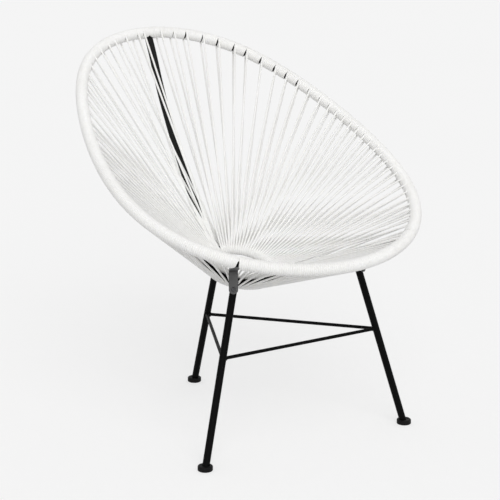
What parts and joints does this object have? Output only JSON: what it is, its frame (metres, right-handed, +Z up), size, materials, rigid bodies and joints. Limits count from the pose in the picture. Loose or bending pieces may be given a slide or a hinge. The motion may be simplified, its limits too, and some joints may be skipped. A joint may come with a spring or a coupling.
{
  "type": "corded lounge chair",
  "caption": "Round lounge chair: an egg-shaped steel hoop strung with white cord to a small centre ring, on slanted black tube legs.",
  "frame": {"origin": "on the floor, under the middle of the hoop's width and depth", "axes": "+Z up, -Y towards the chair's front, +X towards the right front leg as seen from the front"},
  "size_m": [0.7434, 0.8781, 0.8481],
  "materials": {
    "cord": "smooth soft plastic cord, slight sheen",
    "frame": "black satin powder coat",
    "foot": "matte",
    "bolt": "black satin"
  },
  "bodies": {
    "root": {"left_cord": "cord", "right_cord": "cord", "front_cord": "cord", "rim_hoop": "frame", "centre_ring": "frame", "back_spar": "frame", "front_left_spar": "frame", "front_right_spar": "frame", "back_leg": "frame", "front_left_leg": "frame", "front_right_leg": "frame", "left_stretcher": "frame", "right_stretcher": "frame", "front_stretcher": "frame", "back_foot": "foot", "front_left_foot": "foot", "front_right_foot": "foot", "back_bolt": "bolt", "front_left_bolt": "bolt", "front_right_bolt": "bolt"}
  },
  "joints": []
}
